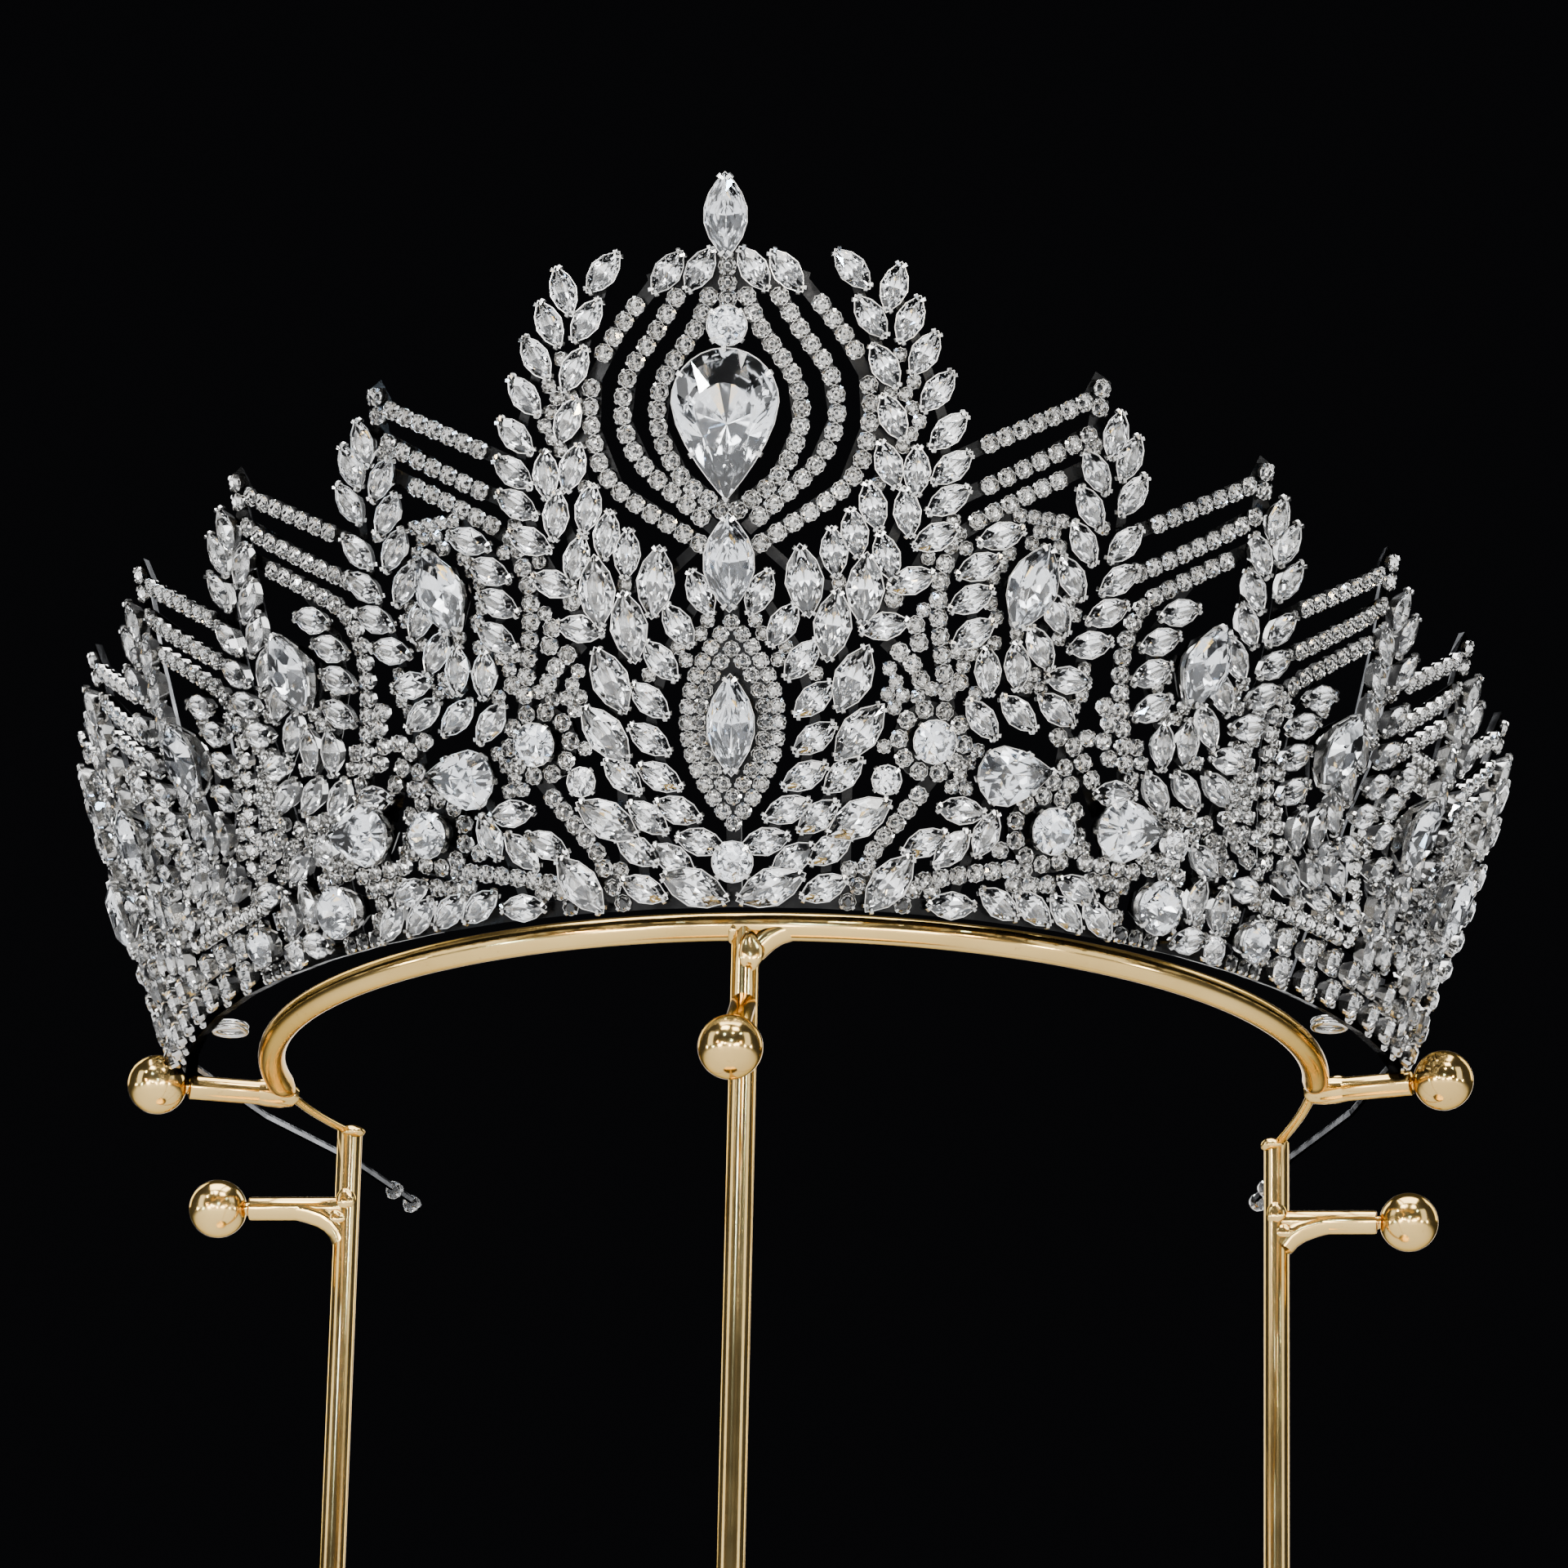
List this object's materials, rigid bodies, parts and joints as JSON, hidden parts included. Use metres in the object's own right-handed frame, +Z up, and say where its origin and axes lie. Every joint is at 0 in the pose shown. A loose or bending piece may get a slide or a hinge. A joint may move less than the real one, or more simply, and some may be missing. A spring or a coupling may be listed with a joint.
{
  "type": "pageant crown on display stand",
  "caption": "Openwork pageant crown of marquise sprays and rhinestone chain lines, resting on a round-based wire display stand with ball-ended pegs.",
  "frame": {"origin": "centre of the stand's base disc, at its underside", "axes": "+Z up; -Y toward the front of the crown; +X to the right as the viewer of the front sees it"},
  "size_m": [0.1792, 0.1767, 0.348],
  "materials": {
    "gold_plated_metal": "polished",
    "silver_plated_metal": "polished",
    "large_crystal": "polished",
    "small_crystal": "polished"
  },
  "bodies": {
    "root": {"display_stand": "gold_plated_metal", "ball_front": "gold_plated_metal", "ball_upper_left": "gold_plated_metal", "ball_upper_right": "gold_plated_metal", "ball_lower_left": "gold_plated_metal", "ball_lower_right": "gold_plated_metal", "crown_frame": "silver_plated_metal", "hair_loop_left": "silver_plated_metal", "hair_loop_right": "silver_plated_metal", "finial_stone": "large_crystal", "top_round_stone": "large_crystal", "centre_pear_stone": "large_crystal", "upper_marquise_stone": "large_crystal", "halo_marquise_stone": "large_crystal", "low_round_stone": "large_crystal", "inner_round_left": "large_crystal", "inner_round_right": "large_crystal", "inner_pear_left": "large_crystal", "inner_pear_right": "large_crystal", "outer_round_left": "large_crystal", "outer_round_right": "large_crystal", "outer_pear_left": "large_crystal", "outer_pear_right": "large_crystal", "edge_round_left": "large_crystal", "edge_round_right": "large_crystal", "far_round_left": "large_crystal", "far_round_right": "large_crystal", "peak_marquise_1_left": "large_crystal", "peak_marquise_1_right": "large_crystal", "peak_marquise_2_left": "large_crystal", "peak_marquise_2_right": "large_crystal", "peak_marquise_3_left": "large_crystal", "peak_marquise_3_right": "large_crystal", "peak_marquise_4_left": "large_crystal", "peak_marquise_4_right": "large_crystal", "peak_marquise_5_left": "large_crystal", "peak_marquise_5_right": "large_crystal", "spray_leaves_1_left": "small_crystal", "spray_leaves_1_right": "small_crystal", "spray_leaves_2_left": "small_crystal", "spray_leaves_2_right": "small_crystal", "spray_leaves_3_left": "small_crystal", "spray_leaves_3_right": "small_crystal", "spray_leaves_4_left": "small_crystal", "spray_leaves_4_right": "small_crystal", "spray_leaves_5_left": "small_crystal", "spray_leaves_5_right": "small_crystal", "branch_leaves_left": "small_crystal", "branch_leaves_right": "small_crystal", "laurel_leaves_left": "small_crystal", "laurel_leaves_right": "small_crystal", "edge_stones_left": "small_crystal", "edge_stones_right": "small_crystal"}
  },
  "joints": []
}
